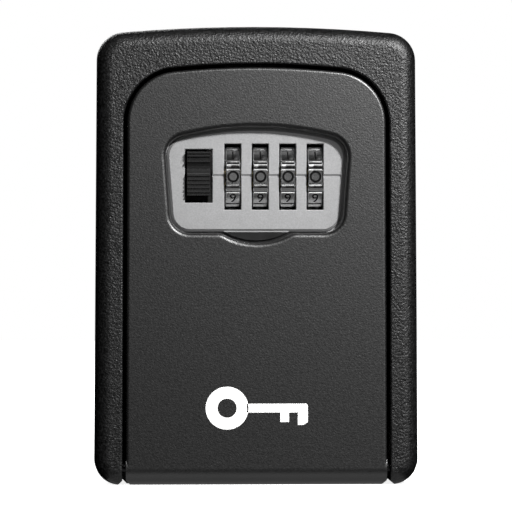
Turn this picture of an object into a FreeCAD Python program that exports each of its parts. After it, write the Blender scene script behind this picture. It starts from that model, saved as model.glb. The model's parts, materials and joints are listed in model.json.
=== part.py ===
"""Wall key lock box with a four-dial combination latch, a hinged door and a reset lever.

Units are millimetres. +Z is up, the door faces -Y and the back plane that meets
the wall is Y = 0. The origin is the centre of the four wall holes, on the back plane.
"""
import FreeCAD
import Part
import math
import os
import re
import Sketcher

DOC = FreeCAD.newDocument("KeyLockBox")
SHEET = DOC.addObject("Spreadsheet::Sheet", "Sizes")

# Driving sizes: name and value. Depths are measured forward from the wall.
SIZES = (
    # Case
    ("case_height", 120.0),
    ("case_depth", 40.0),
    ("case_width_low", 85.0),
    ("case_width_high", 83.5),
    ("case_crown", 413.0),
    ("case_corner_high", 7.4),
    ("case_corner_low", 6.8),
    ("case_round", 4.0),
    ("back_wall", 3.0),
    ("side_wall", 4.0),
    ("lip_depth", 6.8),
    ("cavity_corner", 4.0),
    ("back_recess", 1.0),
    ("back_rim", 6.0),
    ("boss_high", 5.5),
    ("boss_deep", 7.0),
    # Door opening in the front of the case
    ("opening_top", 50.2),
    ("opening_width_low", 70.2),
    ("opening_width_high", 69.4),
    ("opening_crown", 210.0),
    ("opening_corner", 14.4),
    ("opening_round", 0.5),
    ("foot_bevel", 1.2),
    # Wall holes
    ("wall_hole_span_x", 44.0),
    ("wall_hole_span_z", 72.0),
    ("wall_hole_radius", 2.5),
    ("wall_hole_sink", 10.0),
    # Door and hinge
    ("door_gap", 0.95),
    ("door_thick", 4.5),
    ("door_round", 0.8),
    ("hinge_radius", 4.5),
    ("barrel_side_room", 0.4),
    ("barrel_back_room", 0.6),
    ("pin_radius", 1.5),
    ("pin_inset", 14.0),
    ("pin_play", 0.05),
    ("pin_end_gap", 1.3),
    # Stiffening ribs behind the door
    ("rib_across", 22.0),
    ("rib_width", 1.6),
    ("rib_deep", 1.6),
    ("rib_low", -50.0),
    ("rib_high", -8.0),
    ("rib_cross_up", -30.0),
    # Window in the door, and the finger scoop under it
    ("window_low", 5.9),
    ("window_high", 33.7),
    ("window_width_low", 44.5),
    ("window_width_high", 48.1),
    ("window_crown", 82.0),
    ("window_corner_high", 5.5),
    ("window_corner_low", 5.2),
    ("window_round", 1.2),
    ("scoop_low", 3.3),
    ("scoop_chord", 7.0),
    ("scoop_radius", 17.7),
    ("scoop_blend", 4.0),
    ("scoop_gap", 0.75),
    # Faceplate
    ("plate_front", 36.5),
    ("plate_back", 34.0),
    ("plate_gap", 0.35),
    ("plate_bevel", 0.6),
    ("flange_thick", 1.4),
    ("flange_width", 49.2),
    ("flange_low", 0.5),
    ("flange_high", 40.0),
    ("slot_width", 4.4),
    ("slot_height", 17.3),
    ("slot_round", 0.25),
    ("slider_window_width", 7.2),
    ("slider_window_height", 14.0),
    ("slider_centre", -15.1),
    ("slider_pitch", 1.07),
    ("slider_front", 38.4),
    ("index_line", 20.9),
    ("index_depth", 0.5),
    ("index_end", 22.2),
    # Dials and their sleeves, placed along X
    ("dial_pitch", 7.2),
    ("dial_first", -6.1),
    ("dial_front", 28.2),
    ("dial_up", 20.7),
    ("dial_radius", 9.8),
    ("dial_width", 3.8),
    ("dial_bore", 4.1),
    ("groove_radius", 1.1),
    ("groove_out", 0.75),
    ("notch_radius", 5.05),
    ("notch_width", 1.3),
    ("sleeve_radius", 4.0),
    ("sleeve_left", 3.75),
    ("key_reach", 4.85),
    ("key_width", 1.0),
    ("flange_radius", 6.0),
    ("cam_left", 2.3),
    ("cam_right", 3.4),
    ("gate_width", 3.8),
    ("gate_floor", 4.05),
    # Spindle and frame
    ("spindle_radius", 1.5),
    ("spindle_left", -13.25),
    ("spindle_right", 26.55),
    ("frame_left", -12.55),
    ("frame_right", 25.85),
    ("frame_low", 6.0),
    ("frame_high", 37.6),
    ("frame_front", 16.9),
    ("frame_back", 15.7),
    ("cheek_thick", 1.4),
    ("cheek_low", 12.0),
    ("cheek_high", 30.0),
    ("clip_radius", 3.0),
    ("clip_thick", 0.6),
    ("arm_slot_width", 2.75),
    ("arm_slot_low", 15.4),
    ("arm_slot_high", 26.1),
    # Detent comb: a strip of leaf spring with a lifted finger for each dial
    ("leaf_thick", 0.35),
    ("leaf_lift", 0.65),
    ("leaf_low", 9.9),
    ("leaf_foot_high", 12.6),
    ("leaf_bend_high", 14.2),
    ("leaf_high", 24.4),
    ("leaf_gap_low", 13.6),
    ("leaf_rivet_up", 11.1),
    # Latch
    ("latch_travel", 1.7),
    ("latch_front", 32.8),
    ("latch_back", 31.8),
    ("latch_low", 32.4),
    ("latch_high", 40.6),
    ("bolt_tip", 51.5),
    ("post_radius", 1.6),
    ("post_high", 35.4),
    ("post_low", 8.0),
    ("latch_bar_left", -19.0),
    ("latch_bar_right", 19.5),
    ("latch_arm_left", -20.2),
    ("latch_arm_right", -12.9),
    ("latch_arm_low", 14.6),
    ("fence_thick", 0.9),
    ("fence_reach", 1.4),
    ("tongue_half", 8.0),
    ("lap_half", 5.5),
    ("lap_low", 37.2),
    ("lap_thick", 1.0),
    ("lead_bevel", 1.2),
    ("bolt_rivet_across", 3.5),
    ("bolt_rivet_up", 38.9),
    # Slider
    ("slider_width", 6.1),
    ("slider_low", 15.75),
    ("slider_high", 27.3),
    ("slider_screw_across", -15.6),
    ("slider_screw_up", 24.0),
    # Springs
    ("coil_wire", 0.25),
    ("latch_coil_across", -17.0),
    ("latch_coil_low", 4.35),
    ("latch_coil_radius", 1.6),
    ("latch_coil_pitch", 1.6),
    ("latch_coil_length", 9.9),
    ("spring_seat_half", 2.4),
    ("reset_coil_radius", 2.1),
    ("reset_coil_pitch", 1.3),
    ("reset_coil_length", 4.6),
    # Cover
    ("cover_front", 35.5),
    ("cover_back", 11.9),
    ("cover_wall", 1.5),
    ("cover_width", 63.0),
    ("cover_low", -2.0),
    ("cover_high", 42.5),
    ("cover_corner", 6.0),
    ("cover_post_x", 27.0),
    ("cover_post_high", 37.2),
    ("cover_post_low", 3.0),
    ("cover_post_radius", 2.3),
    ("cover_edge_round", 1.2),
    ("stop_rib_across", 18.0),
    ("stop_rib_width", 1.2),
    ("stop_rib_low", 6.0),
    ("stop_rib_high", 34.0),
    # Reset lever and carrier
    ("lever_x", -1.0),
    ("lever_up", 22.0),
    ("crank_arm", 3.0),
    ("crank_radius", 0.9),
    ("hub_radius", 3.0),
    ("lever_flange_radius", 4.2),
    ("lever_reach", 9.0),
    ("lever_half", 1.6),
    ("lever_thick", 1.45),
    ("carrier_right", 6.0),
    ("carrier_low", 15.8),
    ("carrier_high", 25.7),
    ("carrier_thick", 1.0),
    ("carrier_gap", 0.3),
    # Screws and rivets
    ("plate_screw_radius", 0.8),
    ("plate_screw_across", 22.4),
    ("plate_screw_length", 3.4),
    ("frame_screw_radius", 0.7),
    ("frame_screw_length", 6.0),
    ("cover_screw_radius", 0.9),
    ("cover_screw_length", 9.0),
    ("screw_head_thick", 1.1),
    ("rivet_radius", 0.6),
    ("rivet_head_radius", 1.1),
    ("rivet_head_thick", 0.35),
)

SIZE_NAMES = set(name for name, value in SIZES)
TO_FRONT = FreeCAD.Rotation(FreeCAD.Vector(1, 0, 0), 90)
TO_RIGHT = FreeCAD.Rotation(FreeCAD.Vector(0, 1, 0), 90)
NEAR = 0.02
DIGITS = 10
DIALS = 4


def fill_sheet():
    """Write every driving size into the sheet, with its name as the cell's alias."""
    for row, (name, value) in enumerate(SIZES, start=1):
        SHEET.set(f"A{row}", name)
        SHEET.set(f"B{row}", str(value))
        SHEET.setAlias(f"B{row}", name)
    DOC.recompute()


def formula(text):
    """Spell a formula of size names as an expression that reads the sheet."""
    return re.sub(r"[a-z]\w*", lambda word: "Sizes." * (word.group() in SIZE_NAMES) + word.group(), text)


def value(text):
    """Work out a formula of size names."""
    return float(SHEET.evalExpression(text))


def bind(thing, prop, text):
    """Tie one property of a document object to a formula."""
    thing.setExpression(prop, formula(text))


# ---------------------------------------------------------------- features


def new_body(label):
    body = DOC.addObject("PartDesign::Body", label)
    body.Label = label
    return body


def origin_feature(body, role):
    return [feature for feature in body.Origin.OriginFeatures if feature.Role == role][0]


def new_sketch(body, name, forward="0", role="XZ_Plane"):
    """Start a sketch on an origin plane; an XZ sketch is moved forward from the wall."""
    sketch = body.newObject("Sketcher::SketchObject", name)
    sketch.AttachmentSupport = (origin_feature(body, role), "")
    sketch.MapMode = "FlatFace"
    bind(sketch, "AttachmentOffset.Base.z", forward)
    return sketch


def measure(sketch, kind, target, text):
    """Hold one point's distance from the sketch origin, or one radius, to a formula."""
    if kind == "Radius":
        index = sketch.addConstraint(Sketcher.Constraint(kind, target, value(text)))
    else:
        index = sketch.addConstraint(Sketcher.Constraint(kind, -1, 1, target[0], target[1], value(text)))
    sketch.setExpression(f"Constraints[{index}]", formula(text))


def draw_rectangle(sketch, low_x, high_x, low_z, high_z):
    """A rectangle between two pairs of formulas."""
    corners = [(low_x, low_z), (high_x, low_z), (high_x, high_z), (low_x, high_z)]
    draw_polygon(sketch, corners)


def draw_polygon(sketch, corners):
    """A closed chain of straight lines whose corners are pairs of formulas."""
    points = [FreeCAD.Vector(value(across), value(up), 0) for across, up in corners]
    first = sketch.GeometryCount
    for number, point in enumerate(points):
        sketch.addGeometry(Part.LineSegment(point, points[(number + 1) % len(points)]), False)
    for number, (across, up) in enumerate(corners):
        following = first + (number + 1) % len(corners)
        sketch.addConstraint(Sketcher.Constraint("Coincident", first + number, 2, following, 1))
        measure(sketch, "DistanceX", (first + number, 1), across)
        measure(sketch, "DistanceY", (first + number, 1), up)


def draw_circle(sketch, across, up, radius):
    """A circle whose centre and radius are formulas."""
    centre = FreeCAD.Vector(value(across), value(up), 0)
    index = sketch.addGeometry(Part.Circle(centre, FreeCAD.Vector(0, 0, 1), value(radius)), False)
    measure(sketch, "Radius", index, radius)
    measure(sketch, "DistanceX", (index, 3), across)
    measure(sketch, "DistanceY", (index, 3), up)


def draw_arched(sketch, width_low, width_high, low, high, crown):
    """A symmetric outline: flat base, two tapered sides and an arched top of radius crown."""
    half_low = value(width_low) / 2
    half_high = value(width_high) / 2
    centre_up = value(high) - value(crown)
    shoulder = centre_up + math.sqrt(value(crown) ** 2 - half_high ** 2)
    points = [
        FreeCAD.Vector(-half_low, value(low), 0),
        FreeCAD.Vector(half_low, value(low), 0),
        FreeCAD.Vector(half_high, shoulder, 0),
        FreeCAD.Vector(-half_high, shoulder, 0),
    ]
    base = sketch.addGeometry(Part.LineSegment(points[0], points[1]), False)
    right = sketch.addGeometry(Part.LineSegment(points[1], points[2]), False)
    top = sketch.addGeometry(Part.Arc(points[2], FreeCAD.Vector(0, value(high), 0), points[3]), False)
    left = sketch.addGeometry(Part.LineSegment(points[3], points[0]), False)
    sketch.addConstraint(Sketcher.Constraint("Coincident", base, 2, right, 1))
    sketch.addConstraint(Sketcher.Constraint("Coincident", right, 2, top, 1))
    sketch.addConstraint(Sketcher.Constraint("Coincident", top, 2, left, 1))
    sketch.addConstraint(Sketcher.Constraint("Coincident", left, 2, base, 1))
    measure(sketch, "DistanceX", (base, 1), f"-({width_low})/2")
    measure(sketch, "DistanceY", (base, 1), low)
    measure(sketch, "DistanceX", (base, 2), f"({width_low})/2")
    measure(sketch, "DistanceY", (base, 2), low)
    measure(sketch, "DistanceX", (right, 2), f"({width_high})/2")
    measure(sketch, "DistanceX", (left, 1), f"-({width_high})/2")
    measure(sketch, "Radius", top, crown)
    measure(sketch, "DistanceX", (top, 3), "0")
    measure(sketch, "DistanceY", (top, 3), f"({high}) - ({crown})")


def draw_segment(sketch, radius, chord_up):
    """A segment of a circle round the scoop's centre: an arc below a level chord."""
    centre_up = value("scoop_low + scoop_radius")
    half = math.sqrt(value(radius) ** 2 - (centre_up - value(chord_up)) ** 2)
    left = FreeCAD.Vector(-half, value(chord_up), 0)
    right = FreeCAD.Vector(half, value(chord_up), 0)
    bottom = FreeCAD.Vector(0, centre_up - value(radius), 0)
    arc = sketch.addGeometry(Part.Arc(left, bottom, right), False)
    chord = sketch.addGeometry(Part.LineSegment(right, left), False)
    sketch.addConstraint(Sketcher.Constraint("Coincident", arc, 2, chord, 1))
    sketch.addConstraint(Sketcher.Constraint("Coincident", chord, 2, arc, 1))
    sketch.addConstraint(Sketcher.Constraint("Horizontal", chord))
    measure(sketch, "Radius", arc, radius)
    measure(sketch, "DistanceX", (arc, 3), "0")
    measure(sketch, "DistanceY", (arc, 3), "scoop_low + scoop_radius")
    measure(sketch, "DistanceY", (chord, 1), chord_up)


def pad(body, sketch, length, backward=False):
    """Extrude a sketch; an XZ sketch grows forward unless it is told to grow backward."""
    feature = body.newObject("PartDesign::Pad", sketch.Name + "_pad")
    feature.Profile = sketch
    feature.Reversed = backward
    bind(feature, "Length", length)
    DOC.recompute()
    return feature


def pocket(body, sketch, length, forward=False):
    """Cut a sketch into the body and make sure that it removed something."""
    before = body.Shape.Volume
    feature = body.newObject("PartDesign::Pocket", sketch.Name + "_pocket")
    feature.Profile = sketch
    feature.Reversed = forward
    bind(feature, "Length", length)
    DOC.recompute()
    if body.Shape.Volume > before - NEAR:
        raise RuntimeError(feature.Name + " cuts nothing")
    return feature


def round_edges(body, name, edges, radius):
    """Fillet the edges of the body that a rule picks."""
    fillet = body.newObject("PartDesign::Fillet", name)
    fillet.Base = (fillet.BaseFeature, edges)
    bind(fillet, "Radius", radius)
    DOC.recompute()
    return fillet


def chamfer_edges(body, name, edges, size):
    """Chamfer the edges of the body that a rule picks."""
    chamfer = body.newObject("PartDesign::Chamfer", name)
    chamfer.Base = (chamfer.BaseFeature, edges)
    bind(chamfer, "Size", size)
    DOC.recompute()
    return chamfer


def pick_edges(body, rule):
    """Names of the edges of a body that a rule on the edge's bounding box accepts."""
    edges = enumerate(body.Shape.Edges, start=1)
    return [f"Edge{number}" for number, edge in edges if rule(edge.BoundBox)]


def along_y(box):
    """True for an edge that runs front to back."""
    return box.XLength < NEAR and box.ZLength < NEAR


def in_front_plane(box, forward):
    """True for an edge that lies wholly in the plane at a distance forward from the wall."""
    return abs(box.YMin + forward) < NEAR and abs(box.YMax + forward) < NEAR


def block(body, name, across, depth, up, cut=False):
    """Add or cut a box between a low and a high formula along X, Y and Z."""
    kind = "PartDesign::SubtractiveBox" if cut else "PartDesign::AdditiveBox"
    feature = body.newObject(kind, name)
    spans = (("Length", "x", across), ("Width", "y", depth), ("Height", "z", up))
    for side, axis, (low, high) in spans:
        bind(feature, side, f"({high}) - ({low})")
        bind(feature, f"Placement.Base.{axis}", low)
    DOC.recompute()
    return feature


def rod(body, name, centre, radius, length, turn, cut=False):
    """Add or cut a cylinder that starts at a centre and runs along a turned Z axis."""
    kind = "PartDesign::SubtractiveCylinder" if cut else "PartDesign::AdditiveCylinder"
    feature = body.newObject(kind, name)
    feature.Placement = FreeCAD.Placement(FreeCAD.Vector(), turn)
    bind(feature, "Radius", radius)
    bind(feature, "Height", length)
    for axis, text in zip("xyz", centre):
        bind(feature, f"Placement.Base.{axis}", text)
    DOC.recompute()
    return feature


# ---------------------------------------------------------------- case and door

HINGE_FORWARD = "(case_depth - hinge_radius)"
HINGE_UP = "(hinge_radius - case_height/2)"
OPENING_HALF = "(opening_width_low/2)"
BARREL_ROOM_HALF = "(opening_width_low/2 + barrel_side_room)"
DOOR_HALF = "(opening_width_low/2 - door_gap)"


def make_body_shell():
    """Cast case: a box open at the front, with a lip round the door and a back wall."""
    body = new_body("body_shell")
    outline = new_sketch(body, "case_outline")
    half = "case_height/2"
    draw_arched(outline, "case_width_low", "case_width_high", f"-{half}", half, "case_crown")
    pad(body, outline, "case_depth")
    for name, low in (("case_corner_high", False), ("case_corner_low", True)):
        edges = pick_edges(body, lambda box: along_y(box) and (box.ZMin < 0) == low)
        round_edges(body, name + "_fillet", edges, name)
    depth = value("case_depth")
    edges = pick_edges(body, lambda box: in_front_plane(box, depth))
    round_edges(body, "case_front_fillet", edges, "case_round")
    cut_door_opening(body)
    cut_cavity(body)
    cut_hinge(body)
    round_opening(body)
    cut_wall_holes(body)
    cut_back_recess(body)
    return body


def cut_door_opening(body):
    """Opening in the front lip: arched at the top and open at the bottom."""
    outline = new_sketch(body, "opening_outline", "case_depth")
    low = "-case_height/2"
    draw_arched(outline, "opening_width_low", "opening_width_high", low, "opening_top", "opening_crown")
    pocket(body, outline, "lip_depth")
    half = value("opening_width_high") / 2
    edges = pick_edges(body, lambda box: is_upper_corner(box, half))
    round_edges(body, "opening_corner_fillet", edges, "opening_corner")
    rim = pick_edges(body, is_opening_rim)
    round_edges(body, "opening_fillet", rim, "opening_round")


def is_opening_rim(box):
    """True for a front edge of the case that runs round the door opening."""
    reach = value("opening_width_high") / 2 + 1
    top = value("opening_top") + NEAR
    return in_front_plane(box, value("case_depth")) and box.ZMax < top and abs(box.XMin) < reach


def is_upper_corner(box, half):
    """True for an edge that runs front to back at one of the two upper corners."""
    return along_y(box) and abs(abs(box.XMin) - half) < NEAR and box.ZMin > 0


def round_opening(body):
    """Bevel the foot of each leg, and run the bevels on as a groove under the case to the wall."""
    bevel_foot(body, "left_foot", f"-{OPENING_HALF}", "1", "case_depth + 2")
    bevel_foot(body, "right_foot", OPENING_HALF, "1", "case_depth + 2")


def bevel_foot(body, name, across, start, length):
    """Bevel a bottom corner that runs front to back, forward from a start."""
    bevel = body.newObject("PartDesign::SubtractivePrism", name)
    bevel.Polygon = 4
    bevel.Placement = FreeCAD.Placement(FreeCAD.Vector(), TO_FRONT)
    bind(bevel, "Circumradius", "foot_bevel")
    bind(bevel, "Height", length)
    bind(bevel, "Placement.Base.x", across)
    bind(bevel, "Placement.Base.y", start)
    bind(bevel, "Placement.Base.z", "-case_height/2")
    DOC.recompute()


def cut_cavity(body):
    """Key space behind the lip, with a boss at each lower corner that holds a hinge pin."""
    outline = new_sketch(body, "cavity_outline", "case_depth - lip_depth")
    wide_low = "case_width_low - 2*side_wall"
    wide_high = "case_width_high - 2*side_wall"
    low = "side_wall - case_height/2"
    high = "case_height/2 - side_wall"
    draw_arched(outline, wide_low, wide_high, low, high, "case_crown")
    pocket(body, outline, "case_depth - lip_depth - back_wall")
    half = value(wide_high) / 2
    edges = pick_edges(body, lambda box: is_upper_corner(box, half))
    round_edges(body, "cavity_corner_fillet", edges, "cavity_corner")
    floor = ("side_wall - case_height/2 - 1", "side_wall - case_height/2 + boss_high")
    depth = ("lip_depth - case_depth - 0.5", "lip_depth - case_depth + boss_deep")
    within_wall = "(case_width_low/2 - side_wall/2)"
    block(body, "left_boss", (f"-{within_wall}", f"-{BARREL_ROOM_HALF}"), depth, floor)
    block(body, "right_boss", (BARREL_ROOM_HALF, within_wall), depth, floor)


def cut_hinge(body):
    """Room for the door's barrel in the floor, and the pin holes through both legs."""
    across = (f"-{BARREL_ROOM_HALF}", BARREL_ROOM_HALF)
    depth = ("lip_depth - case_depth", f"hinge_radius + barrel_back_room - {HINGE_FORWARD}")
    up = ("-case_height/2 - 1", "side_wall - case_height/2 + 1")
    block(body, "barrel_room", across, depth, up, cut=True)
    start = ("-case_width_low", f"-{HINGE_FORWARD}", HINGE_UP)
    rod(body, "pin_holes", start, "pin_radius", "2*case_width_low", TO_RIGHT, cut=True)


def wall_hole_centres():
    return [(f"{x}*wall_hole_span_x/2", f"{z}*wall_hole_span_z/2") for x in (-1, 1) for z in (-1, 1)]


def cut_wall_holes(body):
    """Four countersunk holes through the back wall, drilled from inside."""
    centres = new_sketch(body, "wall_hole_centres", "back_wall")
    for across, up in wall_hole_centres():
        draw_circle(centres, across, up, "wall_hole_radius")
    DOC.recompute()
    before = body.Shape.Volume
    hole = body.newObject("PartDesign::Hole", "wall_holes")
    hole.Profile = centres
    DOC.recompute()
    hole.DepthType = "ThroughAll"
    hole.HoleCutType = "Countersink"
    hole.HoleCutCountersinkAngle = 90
    bind(hole, "Diameter", "2*wall_hole_radius")
    bind(hole, "HoleCutDiameter", "wall_hole_sink")
    DOC.recompute()
    if body.Shape.Volume > before - NEAR:
        raise RuntimeError("the wall holes cut nothing")


def cut_back_recess(body):
    """Shallow recess in the back that leaves a flat rim and a flat pad round each hole."""
    outline = new_sketch(body, "back_recess_outline")
    half = "case_width_high/2 - back_rim"
    high = "case_height/2 - back_rim - 2"
    draw_rectangle(outline, f"-({half})", half, "back_rim - case_height/2", high)
    for across, up in wall_hole_centres():
        draw_circle(outline, across, up, "wall_hole_sink/2 + 1.5")
    pocket(body, outline, "back_recess", forward=True)


def make_door_panel():
    """Door: a plate with a window, a finger scoop, a hinge barrel and four cover posts."""
    body = new_body("door_panel")
    outline = new_sketch(body, "door_outline", "case_depth - door_thick")
    width_low = "opening_width_low - 2*door_gap"
    width_high = "opening_width_high - 2*door_gap"
    crown = "opening_crown - door_gap"
    draw_arched(outline, width_low, width_high, HINGE_UP, "opening_top - door_gap", crown)
    pad(body, outline, "door_thick")
    edges = pick_edges(body, lambda box: along_y(box) and box.ZMin > 0)
    round_edges(body, "door_corner_fillet", edges, "opening_corner - door_gap")
    window = new_sketch(body, "window_outline", "case_depth")
    draw_arched(window, "window_width_low", "window_width_high", "window_low", "window_high", "window_crown")
    pocket(body, window, "door_thick")
    level = value("window_low + window_high") / 2
    for name, low in (("window_corner_high", False), ("window_corner_low", True)):
        edges = pick_edges(body, lambda box: is_window_corner(box) and (box.ZMin < level) == low)
        round_edges(body, name + "_fillet", edges, name)
    cut_scoop(body)
    depth = value("case_depth")
    inside = pick_edges(body, lambda box: in_front_plane(box, depth) and is_window_rim(box))
    round_edges(body, "window_lip_fillet", inside, "window_round")
    outside = pick_edges(body, lambda box: in_front_plane(box, depth) and is_door_rim(box))
    round_edges(body, "door_edge_fillet", outside, "door_round")
    start = (f"-{DOOR_HALF}", f"-{HINGE_FORWARD}", HINGE_UP)
    rod(body, "hinge_barrel", start, "hinge_radius", f"2*{DOOR_HALF}", TO_RIGHT)
    behind = f"hinge_radius + barrel_back_room - {HINGE_FORWARD}"
    bevel_foot(body, "left_bevel", f"-{DOOR_HALF}", behind, "2*hinge_radius + 2")
    bevel_foot(body, "right_bevel", DOOR_HALF, behind, "2*hinge_radius + 2")
    add_door_back(body)
    return body


def is_window_corner(box):
    """True for a sharp corner of the window, of which there are four."""
    narrow = value("window_width_low") / 2 - 1
    wide = value("window_width_high") / 2 + 1
    return along_y(box) and narrow < abs(box.XMin) < wide and box.ZMin > 0


def is_window_rim(box):
    """True for an edge within the door's window or scoop."""
    half = value("window_width_high") / 2 + 1
    top = value("window_high") + 1
    return max(abs(box.XMin), abs(box.XMax)) < half and box.ZMin > 0 and box.ZMax < top


def is_door_rim(box):
    """True for an edge of the door's outline, without its base."""
    return not is_window_rim(box) and box.ZMax > 0


def cut_scoop(body):
    """Finger scoop: a segment of a circle that dips below the window."""
    scoop = new_sketch(body, "scoop_outline", "case_depth")
    draw_segment(scoop, "scoop_radius", "scoop_chord")
    pocket(body, scoop, "door_thick")
    half_low = value("window_width_low") / 2 - 3
    low = value("window_low") + NEAR
    edges = pick_edges(body, lambda box: along_y(box) and 0 < box.ZMin < low and abs(box.XMin) < half_low)
    round_edges(body, "scoop_blend_fillet", edges, "scoop_blend")


def cover_post_centres():
    ups = ("cover_post_low", "cover_post_high")
    return [(f"{side}*cover_post_x", up) for side in (-1, 1) for up in ups]


def faceplate_screw_centres():
    ups = ("flange_low + 2.5", "flange_high - 2*plate_screw_radius")
    return [(f"{side}*plate_screw_across", up) for side in (-1, 1) for up in ups]


def add_door_back(body):
    """Behind the door: cover posts, stiffening ribs, screw holes and the hinge pin holes."""
    sunk = 0.5
    front = f"-cover_front - {sunk}"
    length = f"cover_front + {sunk} - cover_back - cover_wall"
    for number, (across, up) in enumerate(cover_post_centres(), start=1):
        centre = (across, "-cover_back - cover_wall", up)
        rod(body, f"cover_post_{number}", centre, "cover_post_radius", length, TO_FRONT)
        hole = f"cover_post_hole_{number}"
        rod(body, hole, centre, "cover_screw_radius", "cover_screw_length", TO_FRONT, cut=True)
    for number, (across, up) in enumerate(faceplate_screw_centres(), start=1):
        centre = (across, "-cover_front", up)
        rod(body, f"plate_hole_{number}", centre, "plate_screw_radius", "2", TO_FRONT, cut=True)
    depth = (front, "rib_deep - cover_front")
    for name, side in (("rib_left", -1), ("rib_right", 1)):
        across = (f"{side}*rib_across - rib_width/2", f"{side}*rib_across + rib_width/2")
        block(body, name, across, depth, ("rib_low", "rib_high"))
    up = ("rib_cross_up - rib_width/2", "rib_cross_up + rib_width/2")
    block(body, "rib_cross", ("-rib_across", "rib_across"), depth, up)
    for side, start in ((-1, f"-{DOOR_HALF} - 1"), (1, f"{DOOR_HALF} + 1 - pin_inset")):
        centre = (start, f"-{HINGE_FORWARD}", HINGE_UP)
        name = f"pin_bore_{'left' if side < 0 else 'right'}"
        rod(body, name, centre, "pin_radius + pin_play", "pin_inset", TO_RIGHT, cut=True)


def make_hinge_pins():
    """One plain pin a side, pressed through the leg into the door's barrel."""
    end = "(case_width_low/2 - pin_end_gap)"
    length = f"({end} - {DOOR_HALF} + pin_inset - 1.5)"
    pins = []
    for label, start in (("hinge_pin_left", f"-{end}"), ("hinge_pin_right", f"{end} - {length}")):
        pin = DOC.addObject("Part::Cylinder", label)
        pin.Placement = FreeCAD.Placement(FreeCAD.Vector(), TO_RIGHT)
        bind(pin, "Radius", "pin_radius")
        bind(pin, "Height", length)
        for axis, text in zip("xyz", (start, f"-{HINGE_FORWARD}", HINGE_UP)):
            bind(pin, f"Placement.Base.{axis}", text)
        pins.append(pin)
    return pins


# ---------------------------------------------------------------- faceplate and dials


def make_faceplate():
    """Plate behind the window: dial slots, a slider window, an index line and posts."""
    body = new_body("faceplate")
    outline = new_sketch(body, "boss_outline", "plate_back")
    wide_low = "window_width_low - 2*plate_gap"
    wide_high = "window_width_high - 2*plate_gap"
    low = "window_low + plate_gap + 0.15"
    high = "window_high - plate_gap"
    draw_arched(outline, wide_low, wide_high, low, high, "window_crown - plate_gap")
    pad(body, outline, "plate_front - plate_back")
    level = value("window_low + window_high") / 2
    for name, is_low in (("window_corner_high", False), ("window_corner_low", True)):
        edges = pick_edges(body, lambda box: along_y(box) and (box.ZMin < level) == is_low)
        round_edges(body, f"{name}_fillet", edges, f"{name} - plate_gap")
    base = value(low)
    front = value("plate_front")
    edges = pick_edges(body, lambda box: in_front_plane(box, front) and abs(box.ZMax - base) < NEAR)
    chamfer_edges(body, "boss_bevel", edges, "plate_bevel")
    depth = ("-plate_back - flange_thick", "-plate_back")
    block(body, "flange", ("-flange_width/2", "flange_width/2"), depth, ("flange_low", "flange_high"))
    tab = new_sketch(body, "scoop_tab", "plate_back + flange_thick - 0.2")
    draw_segment(tab, "scoop_radius - scoop_gap", "scoop_chord - 0.4")
    pad(body, tab, "plate_front - plate_back - flange_thick - 0.3")
    cut_plate_openings(body)
    cut_cam_relief(body)
    add_plate_posts(body)
    return body


def cut_plate_openings(body):
    """Four dial slots, the slider window, the index line and the screw holes."""
    slot = new_sketch(body, "slot_outline", "plate_front")
    left = "dial_first - 0.05 - slot_width/2"
    draw_rectangle(slot, left, f"{left} + slot_width", "dial_up - slot_height/2", "dial_up + slot_height/2")
    first_slot = pocket(body, slot, "plate_front - plate_back")
    pattern = body.newObject("PartDesign::LinearPattern", "slot_pattern")
    pattern.Originals = [first_slot]
    pattern.Direction = (origin_feature(body, "X_Axis"), [""])
    bind(pattern, "Length", f"{DIALS - 1}*dial_pitch")
    pattern.Occurrences = DIALS
    body.Tip = pattern
    DOC.recompute()
    half = "slider_window_width/2"
    across = (f"slider_centre - {half}", f"slider_centre + {half}")
    up = ("index_line - slider_window_height/2", "index_line + slider_window_height/2")
    through = ("-plate_front - 1", "1 - plate_back")
    block(body, "slider_window", across, through, up, cut=True)
    cut_index_groove(body, f"slider_centre + {half} - 0.1")
    front = value("plate_front")
    edges = pick_edges(body, lambda box: in_front_plane(box, front) and is_slot_side(box))
    round_edges(body, "slot_fillet", edges, "slot_round")
    for number, (across, up) in enumerate(faceplate_screw_centres(), start=1):
        start = (across, "1 - plate_back", up)
        rod(body, f"screw_hole_{number}", start, "plate_screw_radius", "3", TO_FRONT, cut=True)


def cut_index_groove(body, left):
    """Straight V groove across the front of the plate, level with the digits to be read."""
    groove = body.newObject("PartDesign::SubtractivePrism", "index_groove")
    groove.Polygon = 4
    groove.Placement = FreeCAD.Placement(FreeCAD.Vector(), TO_RIGHT)
    bind(groove, "Circumradius", "index_depth")
    bind(groove, "Height", f"index_end - ({left})")
    bind(groove, "Placement.Base.x", left)
    bind(groove, "Placement.Base.y", "-plate_front")
    bind(groove, "Placement.Base.z", "index_line")
    DOC.recompute()


def cut_cam_relief(body):
    """Room behind the bars between the slots for the cam flanges of the sleeves."""
    left = "dial_first - dial_width/2 - 0.3"
    across = (left, f"{left} + {DIALS}*dial_pitch")
    reach = "(flange_radius + 0.4)"
    up = (f"dial_up - {reach}", f"dial_up + {reach}")
    depth = ("-dial_front - flange_radius - 0.3", "1 - plate_back")
    block(body, "cam_relief", across, depth, up, cut=True)


def is_slot_side(box):
    """True for a long side or an end of a dial slot or the slider window."""
    top = value("dial_up + slot_height/2") + 0.5
    inside = abs(box.XMin) < 20 and abs(box.XMax) < 20 and box.ZMax < top and box.ZMin > 11
    return inside and (box.ZLength > 6 or (box.XLength > 3.8 and box.ZLength < NEAR and not near_index(box)))


def near_index(box):
    return abs(box.ZMin - value("index_line")) < 1


def frame_post_centres():
    high = [("-8.5", "post_high"), ("14.2", "post_high")]
    return [("-8", "post_low"), ("20", "post_low")] + high


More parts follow.
